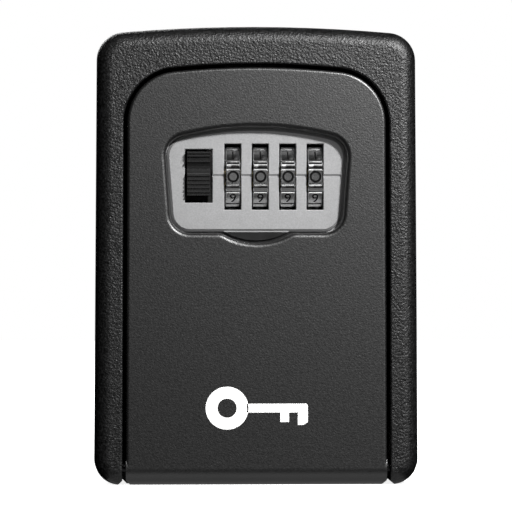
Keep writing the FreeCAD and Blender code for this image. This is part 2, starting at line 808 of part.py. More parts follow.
def add_plate_posts(body):
    """Four posts that carry the lock frame, and a ledge with a pin under the latch spring."""
    for number, (across, up) in enumerate(frame_post_centres(), start=1):
        centre = (across, "-frame_front", up)
        rod(body, f"frame_post_{number}", centre, "post_radius", "plate_back - frame_front + 0.5", TO_FRONT)
        hole = f"frame_post_hole_{number}"
        rod(body, hole, centre, "frame_screw_radius", "frame_screw_length", TO_FRONT, cut=True)
    depth = ("-plate_back - 0.5", "fence_reach - dial_front")
    block(body, "spring_ledge", spring_seat(), depth, ("latch_coil_low - 1.85", "latch_coil_low - 0.35"))
    upright = FreeCAD.Rotation()
    foot = ("latch_coil_across", "-dial_front - 1.3", "latch_coil_low - 0.85")
    rod(body, "spring_pin", foot, "latch_coil_radius - 0.6", "3", upright)


def spring_seat():
    """Left and right ends of the two ledges that hold the latch spring."""
    return ("latch_coil_across - spring_seat_half", "latch_coil_across + spring_seat_half")


def dial_place(number):
    """Formula of the X position of a dial, counted from 1 at the left."""
    return f"(dial_first + {number - 1}*dial_pitch)"


def make_dial(number):
    """Number wheel: ten thumb grooves outside, ten clutch notches and a relief bore inside."""
    body = new_body(f"dial_{number}")
    rim = new_sketch(body, "rim", role="YZ_Plane")
    draw_circle(rim, "0", "0", "dial_radius")
    wheel = pad(body, rim, "dial_width")
    wheel.Midplane = True
    DOC.recompute()
    groove = new_sketch(body, "groove", role="YZ_Plane")
    half_step = math.radians(180 / DIGITS)
    reach = "(dial_radius + groove_out)"
    centre = (f"{reach}*{math.cos(half_step):.5f}", f"{reach}*{math.sin(half_step):.5f}")
    draw_circle(groove, *centre, "groove_radius")
    cut_pattern(body, groove, "dial_width + 1")
    rod(body, "bore", ("-dial_width/2 - 0.5", "0", "0"), "dial_bore", "dial_width + 1", TO_RIGHT, cut=True)
    rod(body, "relief", ("-0.1", "0", "0"), "notch_radius", "dial_width", TO_RIGHT, cut=True)
    notch = new_sketch(body, "notch", "-dial_width/2", role="YZ_Plane")
    draw_rectangle(notch, "-notch_width/2", "notch_width/2", "dial_bore - 0.5", "notch_radius - 0.05")
    cut_pattern(body, notch, "2*(dial_width/2 - 0.1)")
    place_at_dial(body, number)
    return body


def cut_pattern(body, sketch, length):
    """Cut a sketch on both sides of its plane and repeat the cut for each digit round X."""
    cut = pocket_both_ways(body, sketch, length)
    pattern = body.newObject("PartDesign::PolarPattern", sketch.Name + "_pattern")
    pattern.Originals = [cut]
    pattern.Axis = (origin_feature(body, "X_Axis"), [""])
    pattern.Angle = 360
    pattern.Occurrences = DIGITS
    body.Tip = pattern
    DOC.recompute()


def pocket_both_ways(body, sketch, length):
    """Cut a sketch equally to both sides of its plane."""
    feature = body.newObject("PartDesign::Pocket", sketch.Name + "_pocket")
    feature.Profile = sketch
    feature.Midplane = True
    bind(feature, "Length", length)
    DOC.recompute()
    return feature


def place_at_dial(body, number):
    bind(body, "Placement.Base.x", dial_place(number))
    bind(body, "Placement.Base.y", "-dial_front")
    bind(body, "Placement.Base.z", "dial_up")


def make_sleeve(number):
    """Sleeve inside a dial: a tube with a clutch key and a cam flange with one gate."""
    body = new_body(f"sleeve_{number}")
    length = "cam_right + sleeve_left"
    rod(body, "tube", ("-sleeve_left", "0", "0"), "sleeve_radius", length, TO_RIGHT)
    rod(body, "cam", ("cam_left", "0", "0"), "flange_radius", "cam_right - cam_left", TO_RIGHT)
    half = "key_width/2"
    block(body, "clutch_key", ("-1.5", "-0.3"), (f"-{half}", half), ("sleeve_radius - 1", "key_reach"))
    start = ("-sleeve_left - 1", "0", "0")
    rod(body, "hole", start, "spindle_radius + 0.1", f"{length} + 2", TO_RIGHT, cut=True)
    across = ("cam_left - 1", "cam_right + 1")
    up = ("gate_floor", "flange_radius + 1")
    block(body, "gate", across, ("-gate_width/2", "gate_width/2"), up, cut=True)
    place_at_dial(body, number)
    return body


# ---------------------------------------------------------------- lock frame


def make_spindle():
    """Fixed axle of the dials."""
    spindle = DOC.addObject("Part::Cylinder", "spindle")
    spindle.Placement = FreeCAD.Placement(FreeCAD.Vector(), TO_RIGHT)
    bind(spindle, "Radius", "spindle_radius")
    bind(spindle, "Height", "spindle_right - spindle_left")
    for axis, text in zip("xyz", ("spindle_left", "-dial_front", "dial_up")):
        bind(spindle, f"Placement.Base.{axis}", text)
    return spindle


def make_spindle_clips():
    """A retaining ring at each end of the spindle."""
    rings = []
    for number, start in enumerate(("frame_left - clip_thick", "frame_right"), start=1):
        centre = (start, "-dial_front", "dial_up")
        outer = part_rod(f"clip_outer_{number}", centre, "clip_radius", "clip_thick", TO_RIGHT)
        centre = (f"{start} - 1", "-dial_front", "dial_up")
        inner = part_rod(f"clip_inner_{number}", centre, "spindle_radius", "clip_thick + 2", TO_RIGHT)
        across = (f"{start} - 1", f"{start} + 2")
        depth = ("-dial_front - clip_radius - 1", "-dial_front")
        gap = part_block(f"clip_gap_{number}", across, depth, ("dial_up - 0.9", "dial_up + 0.9"))
        rings.append(part_cut(f"clip_{number}", outer, part_fuse(f"clip_void_{number}", [inner, gap])))
    return compound("spindle_clips", rings)


def part_rod(name, centre, radius, length, turn):
    """A Part cylinder from formulas."""
    solid = DOC.addObject("Part::Cylinder", name)
    solid.Placement = FreeCAD.Placement(FreeCAD.Vector(), turn)
    bind(solid, "Radius", radius)
    bind(solid, "Height", length)
    for axis, text in zip("xyz", centre):
        bind(solid, f"Placement.Base.{axis}", text)
    return solid


def part_block(name, across, depth, up):
    """A Part box between pairs of formulas."""
    solid = DOC.addObject("Part::Box", name)
    spans = (("Length", "x", across), ("Width", "y", depth), ("Height", "z", up))
    for side, axis, (low, high) in spans:
        bind(solid, side, f"({high}) - ({low})")
        bind(solid, f"Placement.Base.{axis}", low)
    return solid


def part_cut(name, base, tool):
    result = DOC.addObject("Part::Cut", name)
    result.Base = base
    result.Tool = tool
    return result


def part_fuse(name, solids):
    result = DOC.addObject("Part::MultiFuse", name)
    result.Shapes = solids
    return result


def compound(label, solids):
    """One node that holds several separate solids."""
    group = DOC.addObject("Part::Compound", label)
    group.Links = solids
    return group


def make_screws(label, seats, head, shank):
    """Screws along Y, each under a (radius, length) head, driven forward from its seat."""
    screws = []
    for number, (across, depth, up) in enumerate(seats, start=1):
        name = f"{label}_{number}"
        centre = (across, f"{depth} + {head[1]}", up)
        cap = part_rod(f"{name}_head", centre, head[0], head[1], TO_FRONT)
        start = (across, f"{depth} + 0.1", up)
        stem = part_rod(f"{name}_shank", start, shank[0], f"{shank[1]} + 0.1", TO_FRONT)
        socket = DOC.addObject("Part::Prism", f"{name}_socket")
        socket.Polygon = 6
        socket.Placement = FreeCAD.Placement(FreeCAD.Vector(), TO_FRONT)
        bind(socket, "Circumradius", f"0.5*({head[0]})")
        bind(socket, "Height", f"0.6*({head[1]}) + 1")
        for axis, text in zip("xyz", (across, f"{depth} + {head[1]} + 1", up)):
            bind(socket, f"Placement.Base.{axis}", text)
        screws.append(part_cut(name, part_fuse(f"{name}_blank", [cap, stem]), socket))
    return compound(label, screws)


def make_lock_frame():
    """U bracket: a base plate across the posts and a cheek at each end of the spindle."""
    body = new_body("lock_frame")
    base = ("-frame_front", "-frame_back")
    block(body, "base", ("frame_left", "frame_right"), base, ("frame_low", "frame_high"))
    depth = ("0.6 - latch_back", "-frame_back")
    cheek_up = ("cheek_low", "cheek_high")
    block(body, "left_cheek", ("frame_left", "frame_left + cheek_thick"), depth, cheek_up)
    block(body, "right_cheek", ("frame_right - cheek_thick", "frame_right"), depth, cheek_up)
    through = ("-frame_front - 1", "1 - frame_back")
    corner = ("cover_post_x - cover_post_radius - 0.4", "frame_right + 1")
    notch_low = "cover_post_high - cover_post_radius - 0.9"
    block(body, "post_notch", corner, through, (notch_low, "frame_high + 1"), cut=True)
    start = ("frame_left - 5", "-dial_front", "dial_up")
    length = "frame_right - frame_left + 10"
    rod(body, "spindle_hole", start, "spindle_radius", length, TO_RIGHT, cut=True)
    slot_left = "frame_left + cheek_thick"
    slot = (slot_left, f"{slot_left} + arm_slot_width")
    block(body, "arm_slot", slot, through, ("arm_slot_low", "arm_slot_high"), cut=True)
    for number, (across, up) in enumerate(frame_post_centres(), start=1):
        start = (across, "1 - frame_back", up)
        rod(body, f"screw_hole_{number}", start, "frame_screw_radius", "4", TO_FRONT, cut=True)
    cut_rivet_holes(body, "rivet_hole", detent_rivet_places(), "1 - frame_back")
    return body


def cut_rivet_holes(body, label, places, start):
    """Holes for rivets along Y through a thin sheet."""
    for number, (across, up) in enumerate(places, start=1):
        rod(body, f"{label}_{number}", (across, start, up), "rivet_radius", "4", TO_FRONT, cut=True)


def detent_rivet_places():
    return [(across, "leaf_rivet_up") for across in ("-4", "3", "12", "17")]


def make_detent_spring():
    """Leaf comb: a riveted foot and one upright finger behind each dial."""
    body = new_body("detent_spring")
    profile = new_sketch(body, "leaf_profile", "dial_first - dial_width/2", role="YZ_Plane")
    foot_back = "-frame_front"
    finger_back = "-frame_front - leaf_lift"
    corners = [
        (foot_back, "leaf_low"),
        (foot_back, "leaf_foot_high"),
        (finger_back, "leaf_bend_high"),
        (finger_back, "leaf_high"),
        (f"{finger_back} - leaf_thick", "leaf_high"),
        (f"{finger_back} - leaf_thick", "leaf_bend_high - 0.2"),
        (f"{foot_back} - leaf_thick", "leaf_foot_high - 0.2"),
        (f"{foot_back} - leaf_thick", "leaf_low"),
    ]
    draw_polygon(profile, corners)
    pad(body, profile, f"{DIALS - 1}*dial_pitch + dial_width")
    gap = new_sketch(body, "finger_gap", "frame_front + 2")
    left = "dial_first + dial_width/2 - 0.4"
    right = f"{left} + dial_pitch - dial_width + 0.8"
    draw_rectangle(gap, left, right, "leaf_gap_low", "leaf_high + 1")
    first_gap = pocket(body, gap, "4")
    pattern = body.newObject("PartDesign::LinearPattern", "gap_pattern")
    pattern.Originals = [first_gap]
    pattern.Direction = (origin_feature(body, "X_Axis"), [""])
    bind(pattern, "Length", f"{DIALS - 2}*dial_pitch")
    pattern.Occurrences = DIALS - 1
    body.Tip = pattern
    DOC.recompute()
    cut_rivet_holes(body, "rivet_hole", detent_rivet_places(), "1 - frame_front")
    return body


def make_rivets(label, places, head_front, head_back):
    """Flat-headed rivets along Y through thin sheets."""
    rivets = []
    for number, (across, up) in enumerate(places, start=1):
        name = f"{label}_{number}"
        head = ("rivet_head_radius", "rivet_head_thick")
        front = part_rod(f"{name}_front", (across, head_front, up), *head, TO_FRONT)
        start = (across, f"{head_back} + rivet_head_thick", up)
        back = part_rod(f"{name}_back", start, *head, TO_FRONT)
        start = (across, f"{head_back} + 0.1", up)
        length = f"({head_back}) - ({head_front}) + 0.2"
        stem = part_rod(f"{name}_stem", start, "rivet_radius", length, TO_FRONT)
        rivets.append(part_fuse(name, [front, back, stem]))
    return compound(label, rivets)


# ---------------------------------------------------------------- latch


def make_latch_plate():
    """Sliding plate: a bar behind the faceplate, an arm to the slider, four fence fingers."""
    body = new_body("latch_plate")
    depth = ("-latch_front", "-latch_back")
    block(body, "bar", ("latch_bar_left", "latch_bar_right"), depth, ("latch_low", "latch_high"))
    arm_across = ("latch_arm_left", "latch_arm_right")
    block(body, "arm", arm_across, depth, ("latch_arm_low", "latch_high - 3"))
    foot_depth = ("-latch_front", "0.8 - dial_front")
    block(body, "spring_foot", spring_seat(), foot_depth, ("latch_arm_low", "latch_arm_low + 1"))
    back = "fence_reach - dial_front"
    finger_up = ("dial_up + flange_radius + 0.3", "latch_low + 0.6")
    for number in range(1, DIALS + 1):
        left = f"{dial_place(number)} + cam_left + 0.1"
        across = (left, f"{left} + fence_thick")
        arm_depth = ("-latch_back - 0.5", back)
        block(body, f"fence_arm_{number}", across, arm_depth, ("latch_low", "latch_low + 2"))
        block(body, f"fence_finger_{number}", across, ("-dial_front - 1.5", back), finger_up)
    through = ("-latch_front - 1", "1 - latch_back")
    half = "(post_radius + 0.35)"
    for number, (across, up) in enumerate(frame_post_centres()[2:], start=1):
        reach = (f"{across} - {half}", f"{across} + {half}")
        height = (f"{up} - {half}", f"{up} + {half} + latch_travel")
        block(body, f"guide_slot_{number}", reach, through, height, cut=True)
    start = ("slider_screw_across", "1 - latch_back", "slider_screw_up")
    rod(body, "slider_hole", start, "plate_screw_radius", "4", TO_FRONT, cut=True)
    cut_rivet_holes(body, "bolt_hole", bolt_rivet_places(), "1 - latch_back")
    return body


def bolt_rivet_places():
    return [("-bolt_rivet_across", "bolt_rivet_up"), ("bolt_rivet_across", "bolt_rivet_up")]


def make_latch_bolt():
    """Sprung bolt: a wide tongue above the latch plate and a lap riveted behind it."""
    body = new_body("latch_bolt")
    depth = ("-latch_front", "lap_thick - latch_back")
    block(body, "tongue", ("-tongue_half", "tongue_half"), depth, ("latch_high", "bolt_tip"))
    tip = value("bolt_tip") - NEAR
    back = -value("latch_back")
    edges = pick_edges(body, lambda box: box.ZMin > tip and box.YMin > back)
    chamfer_edges(body, "lead_bevel", edges, "lead_bevel")
    lap_depth = ("-latch_back", "lap_thick - latch_back")
    block(body, "lap", ("-lap_half", "lap_half"), lap_depth, ("lap_low", "latch_high + 0.5"))
    cut_rivet_holes(body, "bolt_hole", bolt_rivet_places(), "lap_thick - latch_back + 1")
    return body


# Third ridge and dished middle of the slider: how far back from its front, how far below its top.
GRIP_DISH = (
    (0.7, 2.3),
    (0.0, 2.45),
    (0.0, 2.75),
    (0.6, 3.1),
    (1.2, 3.8),
    (1.4, 4.5),
    (1.3, 5.1),
    (0.8, 5.7),
)
FINE_RIBS = 6


def make_open_slider():
    """Thumb slider: two grip ridges, a dished middle and a row of fine ribs below."""
    body = new_body("open_slider")
    left = "slider_centre - slider_width/2"
    profile = new_sketch(body, "slider_profile", left, role="YZ_Plane")
    draw_polygon(profile, slider_corners())
    pad(body, profile, "slider_width")
    start = ("slider_screw_across", "1 - latch_front", "slider_screw_up")
    rod(body, "screw_hole", start, "plate_screw_radius", "3.5", TO_FRONT, cut=True)
    return body


def slider_corners():
    """Side outline of the slider, from its back up and then down its ribbed front."""
    back = "-latch_front"
    corners = [(back, "slider_low"), (back, "slider_high"), ("1 - slider_front", "slider_high")]
    for crest in ("slider_high - 0.4", "slider_high - 1.2"):
        corners += [("-slider_front", f"{crest} + 0.2"), ("-slider_front", f"{crest} - 0.15")]
        corners += [("0.5 - slider_front", f"{crest} - 0.35")]
    corners += [(f"{sunk} - slider_front", f"slider_high - {down}") for sunk, down in GRIP_DISH]
    for rib in range(FINE_RIBS):
        top = f"slider_high - 5.95 - {rib}*slider_pitch"
        corners += [("0.7 - slider_front", top), ("0.2 - slider_front", f"{top} - 0.1")]
        if rib < FINE_RIBS - 1:
            corners += [("0.2 - slider_front", f"{top} - 0.5"), ("0.7 - slider_front", f"{top} - 0.6")]
    corners += [("0.2 - slider_front", "slider_low")]
    return corners


def make_coil(label, wire, radius, pitch, height, axis_name, place):
    """Compression spring wound round the sketch's vertical or horizontal axis."""
    body = new_body(label)
    section = new_sketch(body, "wire_section")
    if axis_name == "V_Axis":
        draw_circle(section, radius, "0", wire)
    else:
        draw_circle(section, "0", radius, wire)
    coil = body.newObject("PartDesign::AdditiveHelix", "coil")
    coil.Profile = section
    coil.ReferenceAxis = (section, [axis_name])
    coil.Mode = 0
    bind(coil, "Pitch", pitch)
    bind(coil, "Height", height)
    for axis, text in zip("xyz", place):
        bind(body, f"Placement.Base.{axis}", text)
    DOC.recompute()
    return body


# ---------------------------------------------------------------- reset parts and cover


def make_reset_carrier():
    """Plate that slides behind the lock frame and pushes the sleeves with a forked arm."""
    body = new_body("reset_carrier")
    arm_right = "(dial_first - sleeve_left - 0.1)"
    arm_left = f"({arm_right} - carrier_thick)"
    up = ("carrier_low", "carrier_high")
    depth = ("carrier_gap - frame_back", "carrier_gap + carrier_thick - frame_back")
    block(body, "plate", (arm_left, "carrier_right"), depth, up)
    depth = ("-dial_front - 2.5", "carrier_gap + 0.5 - frame_back")
    block(body, "arm", (arm_left, arm_right), depth, up)
    across = (f"{arm_left} - 0.7", f"{arm_right} + 0.3")
    depth = ("-dial_front - 3", "1.8 - dial_front")
    block(body, "fork", across, depth, ("dial_up - 1.8", "dial_up + 1.8"), cut=True)
    across = ("lever_x - crank_radius - 0.1", "lever_x + crank_radius + 0.1")
    depth = ("-frame_back", "2 - frame_back")
    crank_up = "(lever_up - crank_arm)"
    up = (f"{crank_up} - crank_radius - 0.1", f"{crank_up} + crank_radius + 0.6")
    block(body, "crank_slot", across, depth, up, cut=True)
    return body


def make_reset_lever():
    """Thumb lever on the cover: a hub through the wall, a flange and a crank pin inside."""
    body = new_body("reset_lever")
    clear = "0.15"
    outside = f"({clear} + lever_thick - cover_back)"
    rod(body, "hub", ("lever_x", outside, "lever_up"), "hub_radius", "cover_wall + 2", TO_FRONT)
    centre = ("lever_x", "-cover_back - cover_wall - 0.1", "lever_up")
    rod(body, "flange", centre, "lever_flange_radius", "0.8", TO_FRONT)
    pin = ("lever_x", "-cover_back - cover_wall - 0.5", "lever_up - crank_arm")
    rod(body, "crank_pin", pin, "crank_radius", "1.6", TO_FRONT)
    across = ("lever_x - lever_half", "lever_x + lever_half")
    depth = (f"{clear} - cover_back", outside)
    block(body, "arm", across, depth, ("lever_up", "lever_up + lever_reach"))
    end_up = "lever_up + lever_reach"
    rod(body, "arm_end", ("lever_x", outside, end_up), "lever_half", "lever_thick", TO_FRONT)
    dimple = ("lever_x", f"{outside} + 0.4", end_up)
    rod(body, "thumb_dimple", dimple, "0.9", "0.8", TO_FRONT, cut=True)
    return body


def make_back_cover():
    """Moulded cover over the lock work: a shallow box with rounded corners and edges."""
    body = new_body("back_cover")
    outline = new_sketch(body, "cover_outline", "cover_back")
    draw_rectangle(outline, "-cover_width/2", "cover_width/2", "cover_low", "cover_high")
    pad(body, outline, "cover_front - cover_back")
    inside = new_sketch(body, "cover_inside", "cover_front")
    half = "cover_width/2 - cover_wall"
    draw_rectangle(inside, f"-({half})", half, "cover_low + cover_wall", "cover_high - cover_wall")
    pocket(body, inside, "cover_front - cover_back - cover_wall")
    inner = value(half)
    edges = pick_edges(body, lambda box: along_y(box) and abs(abs(box.XMin) - inner) < NEAR)
    round_edges(body, "cover_inner_fillet", edges, "cover_corner - cover_wall")
    outer = value("cover_width/2")
    edges = pick_edges(body, lambda box: along_y(box) and abs(abs(box.XMin) - outer) < NEAR)
    round_edges(body, "cover_corner_fillet", edges, "cover_corner")
    back = value("cover_back")
    edges = pick_edges(body, lambda box: in_front_plane(box, back))
    round_edges(body, "cover_back_fillet", edges, "cover_edge_round")
    notch = ("-cover_front - 1", "lap_thick + 0.8 - latch_back")
    across = ("-tongue_half - 1", "tongue_half + 1")
    up = ("cover_high - cover_wall - 1", "cover_high + 1")
    block(body, "tongue_notch", across, notch, up, cut=True)
    hub = ("lever_x", "1 - cover_back", "lever_up")
    rod(body, "hub_hole", hub, "hub_radius + 0.1", "cover_wall + 2", TO_FRONT, cut=True)
    for number, (across, up) in enumerate(cover_post_centres(), start=1):
        start = (across, "1 - cover_back", up)
        rod(body, f"screw_hole_{number}", start, "cover_screw_radius", "4", TO_FRONT, cut=True)
    depth = ("-cover_back - 0.3", "0.5 - cover_back")
    for number, side in enumerate((-1, 1), start=1):
        middle = f"{side}*stop_rib_across"
        across = (f"{middle} - stop_rib_width/2", f"{middle} + stop_rib_width/2")
        block(body, f"stop_rib_{number}", across, depth, ("stop_rib_low", "stop_rib_high"))
    return body


def seats(centres, depth):
    return [(across, depth, up) for across, up in centres]


def make_springs():
    """The latch's coil stands on its ledge and the reset coil lies round the spindle."""
    foot = ("latch_coil_across", "-dial_front - 1.3", "latch_coil_low")
    sizes = ("coil_wire", "latch_coil_radius", "latch_coil_pitch", "latch_coil_length")
    latch_spring = make_coil("latch_spring", *sizes, "V_Axis", foot)
    end = (f"{dial_place(DIALS)} + cam_right + 0.35", "-dial_front", "dial_up")
    sizes = ("coil_wire", "reset_coil_radius", "reset_coil_pitch", "reset_coil_length")
    reset_spring = make_coil("reset_spring", *sizes, "H_Axis", end)
    return [latch_spring, reset_spring]


def make_fasteners():
    """Screws and rivets, one node for each identical set."""
    small_head = ("1.8", "1")
    small_shank = ("plate_screw_radius", "plate_screw_length")
    plate_seats = seats(faceplate_screw_centres(), "-plate_back")
    slider_seats = [("slider_screw_across", "-latch_back", "slider_screw_up")]
    frame_seats = seats(frame_post_centres(), "-frame_back")
    frame_head = ("1.6", "screw_head_thick")
    frame_shank = ("frame_screw_radius", "frame_screw_length")
    cover_seats = seats(cover_post_centres(), "-cover_back")
    cover_head = ("1.9", "screw_head_thick")
    cover_shank = ("cover_screw_radius", "cover_screw_length")
    leaf_front = "-frame_front - leaf_thick"
    lap_back = "lap_thick - latch_back"
    return [
        make_screws("faceplate_screws", plate_seats, small_head, small_shank),
        make_screws("frame_screws", frame_seats, frame_head, frame_shank),
        make_screws("slider_screw", slider_seats, ("1.7", "1"), small_shank),
        make_screws("cover_screws", cover_seats, cover_head, cover_shank),
        make_rivets("detent_rivets", detent_rivet_places(), leaf_front, "-frame_back"),
        make_rivets("latch_rivets", bolt_rivet_places(), "-latch_front", lap_back),
    ]


def build_all():
    """Make every sub-part and return the objects that are written out."""
    fill_sheet()
    parts = [make_body_shell(), make_door_panel(), *make_hinge_pins(), make_faceplate()]
    for number in range(1, DIALS + 1):
        parts += [make_dial(number), make_sleeve(number)]
    parts += [make_spindle(), make_spindle_clips(), make_lock_frame(), make_detent_spring()]
    parts += [make_latch_plate(), make_latch_bolt(), make_open_slider()]
    parts += [make_reset_carrier(), make_reset_lever(), make_back_cover()]
    return parts + make_springs() + make_fasteners()


def check_and_write(parts):
    """Refuse a failed feature or a bad solid, then write one file for each sub-part."""
    DOC.recompute()
    for thing in DOC.Objects:
        if "Invalid" in thing.State or "Error" in thing.State:
            raise RuntimeError(f"{thing.Name} failed: {thing.State}")
    os.makedirs("parts", exist_ok=True)
    for part in parts:
        if part.Shape.isNull() or not part.Shape.isValid():
            raise RuntimeError(f"{part.Label} has a bad shape")
        part.Shape.exportStep(f"parts/{part.Label}.step")
        print(part.Label, len(part.Shape.Solids), round(part.Shape.Volume, 1))


check_and_write(build_all())
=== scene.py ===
"""Looks of the wall key safe: finishes, engraved dials, springs and a printed key sign."""

import json
import math

import bmesh
import bpy
from mathutils import Matrix, Vector


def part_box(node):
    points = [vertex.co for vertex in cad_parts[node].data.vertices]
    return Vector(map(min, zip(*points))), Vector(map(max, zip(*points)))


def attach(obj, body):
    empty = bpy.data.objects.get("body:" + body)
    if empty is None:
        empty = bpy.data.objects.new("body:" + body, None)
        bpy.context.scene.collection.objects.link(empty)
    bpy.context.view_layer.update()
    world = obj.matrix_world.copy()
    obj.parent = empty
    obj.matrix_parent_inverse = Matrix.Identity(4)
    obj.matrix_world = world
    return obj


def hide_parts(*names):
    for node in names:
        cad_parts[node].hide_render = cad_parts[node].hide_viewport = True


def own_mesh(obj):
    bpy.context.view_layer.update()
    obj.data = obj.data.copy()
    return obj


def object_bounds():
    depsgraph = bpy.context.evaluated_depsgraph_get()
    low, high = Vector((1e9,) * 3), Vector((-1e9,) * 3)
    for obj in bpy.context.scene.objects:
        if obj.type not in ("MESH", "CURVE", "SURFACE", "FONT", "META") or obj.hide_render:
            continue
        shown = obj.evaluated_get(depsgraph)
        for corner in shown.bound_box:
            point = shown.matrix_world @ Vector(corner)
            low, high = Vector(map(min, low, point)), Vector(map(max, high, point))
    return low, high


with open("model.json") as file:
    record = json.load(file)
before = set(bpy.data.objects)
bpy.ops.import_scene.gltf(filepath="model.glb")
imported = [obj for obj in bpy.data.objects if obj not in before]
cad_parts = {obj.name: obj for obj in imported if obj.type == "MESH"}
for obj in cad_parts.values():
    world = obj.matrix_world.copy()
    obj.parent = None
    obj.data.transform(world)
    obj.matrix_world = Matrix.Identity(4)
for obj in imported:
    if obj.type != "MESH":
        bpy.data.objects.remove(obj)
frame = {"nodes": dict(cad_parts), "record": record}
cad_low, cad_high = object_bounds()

MM = 0.001

# Sizes of the dials, in millimetres and degrees; their places come from the frame.
DIAL_COUNT = 4
DIGITS = 10
SECTOR = 360 / DIGITS
DIAL_RADIUS = 9.6
PAD_HALF_ANGLE = 9.6
GROOVE_DEPTH = 0.2
RIDGE_TOP = 9.79
RIDGE_HEIGHT = 0.42
RIDGE_HALF_ANGLE = 6.3
DIAL_CHAMFER = 0.2
DIAL_BORE = 4.1
DIGIT_HEIGHT = 2.7
DIGIT_CAP = 0.7
DIGIT_DEPTH = 0.14
CUTTER_REACH = 0.5
RING_OUTER = 1.55
RING_INNER = 1.0
RING_STEPS = 48

# Sizes of the printed key sign on the door, in millimetres.
SIGN_UP = -39.8
SIGN_HEAD = 5.6
SIGN_EYE = 2.5
SIGN_SHAFT = 15.5
SIGN_SHAFT_HALF = 1.15
SIGN_BIT = 2.5
SIGN_LONG_BIT = 3.25
SIGN_BIT_WIDTH = 2.3
SIGN_TIP = 0.4
# From the key's end back to the near side of each bit.
SIGN_FIRST_BIT = 7.2
SIGN_SECOND_BIT = 2.6
SIGN_THICK = 0.01
SIGN_STEPS = 72

# How much of the sharp edges is rounded off, in millimetres and degrees.
SLIDER_EDGE = 0.13
PLATE_EDGE = 0.08
SHARP_ANGLE = 35

# Springs: wire radius in millimetres, live turns, and how finely the wire is drawn.
COIL_WIRE = 0.25
LATCH_TURNS = 5
RESET_TURNS = 3
COIL_STEPS = 32
WIRE_SIDES = 10
CLOSED_PITCH = 2.05

# Height below which the number plate is black: its tab behind the thumb scoop.
THUMB_TAB_TOP = 6.2

# The camera, in millimetres and degrees.
CAMERA_DISTANCE = 900
CAMERA_AZIMUTH = -2.3
AIM_ACROSS = -0.2
AIM_UP = -0.08
FRAME_WIDTH = 133.7
SENSOR = 36.0

# The studio, in metres and watts: each light's name, place, diameter and power.
LIGHTS = (
    ("key_light", (0.185, -0.35, 0.235), 0.05, 3.6),
    ("front_panel", (0.0, -1.2, 0.02), 0.2, 0.028),
    ("top_panel", (0.25, -0.8, 0.7), 0.5, 1.2),
    ("low_panel", (0.0, -0.4, -0.5), 0.35, 0.08),
    ("back_panel", (-0.25, 0.8, 0.45), 0.5, 4.0),
)
LIGHT_TARGET = (0, -0.04, 0)
FLOOR_HALF = 1.5
FLOOR_GLOW = 0.85
WORLD_STRENGTH = 0.5
# The strip of light on the floor, close under the front edge of the door.
STRIP_FORWARD = -0.0405
STRIP_UP = -0.0599
STRIP_LENGTH = 0.08
STRIP_WIDTH = 0.008
STRIP_POWER = 0.0008


# Noise stays almost wholly between these levels.
NOISE_LOW = 0.3
NOISE_HIGH = 0.7

# Cutter points closer than this, in metres, are one point.
WELD_DISTANCE = 1e-7


# ---------------------------------------------------------------- materials


class Finish:
    """A node material with its main shader and a few shorthands for wiring."""

    def __init__(self, name, colour, roughness, metallic=0.0):
        self.material = bpy.data.materials.new(name)
        self.material.use_nodes = True
        self.tree = self.material.node_tree
        self.shader = self.tree.nodes["Principled BSDF"]
        self.shader.inputs["Base Color"].default_value = (*colour, 1)
        self.shader.inputs["Roughness"].default_value = roughness
        self.shader.inputs["Metallic"].default_value = metallic
        self.place = self.tree.nodes.new("ShaderNodeTexCoord").outputs["Object"]

    def node(self, kind, **settings):
        """A new node; settings name its properties."""
        made = self.tree.nodes.new(kind)
        for name, setting in settings.items():
            setattr(made, name, setting)
        return made

    def link(self, output, target):
        """Wires an output to an input."""
        self.tree.links.new(output, target)

    def stretched(self, scale):
        """Object coordinates in metres, scaled along each axis."""
        mapping = self.node("ShaderNodeMapping")
        mapping.inputs["Scale"].default_value = scale
        self.link(self.place, mapping.inputs["Vector"])
        return mapping.outputs["Vector"]

    def noise(self, grain, detail=2.0, stretch=(1, 1, 1)):
        """Noise whose features are about one grain across, in millimetres."""
        texture = self.node("ShaderNodeTexNoise")
        texture.inputs["Scale"].default_value = 1 / (grain * MM)
        texture.inputs["Detail"].default_value = detail
        self.link(self.stretched(stretch), texture.inputs["Vector"])
        return texture.outputs["Fac"]

    def ramp(self, factor, low, high, low_colour, high_colour):
        """Colours spread between two levels of a factor."""
        ramp = self.node("ShaderNodeValToRGB")
        ramp.color_ramp.elements[0].position = low
        ramp.color_ramp.elements[1].position = high
        ramp.color_ramp.elements[0].color = (*low_colour, 1)
        ramp.color_ramp.elements[1].color = (*high_colour, 1)
        self.link(factor, ramp.inputs["Fac"])
        return ramp.outputs["Color"]

    def levels(self, factor, low, high):
        """A noise factor spread over a new range of values."""
        spread = self.node("ShaderNodeMapRange")
        spread.inputs["From Min"].default_value = NOISE_LOW
        spread.inputs["From Max"].default_value = NOISE_HIGH
        spread.inputs["To Min"].default_value = low
        spread.inputs["To Max"].default_value = high
        self.link(factor, spread.inputs["Value"])
        return spread.outputs["Result"]

    def colour(self, output):
        """Wires an output to the surface's colour."""
        self.link(output, self.shader.inputs["Base Color"])

    def roughness(self, output):
        """Wires an output to the surface's roughness."""
        self.link(output, self.shader.inputs["Roughness"])

    def bump(self, height, depth, strength=1.0):
        """Relief of the surface, its depth in millimetres; calls add up."""
        bump = self.node("ShaderNodeBump")
        bump.inputs["Strength"].default_value = strength
        bump.inputs["Distance"].default_value = depth * MM
        self.link(height, bump.inputs["Height"])
        normal = self.shader.inputs["Normal"]
        if normal.is_linked:
            self.link(normal.links[0].from_socket, bump.inputs["Normal"])
        self.link(bump.outputs["Normal"], normal)


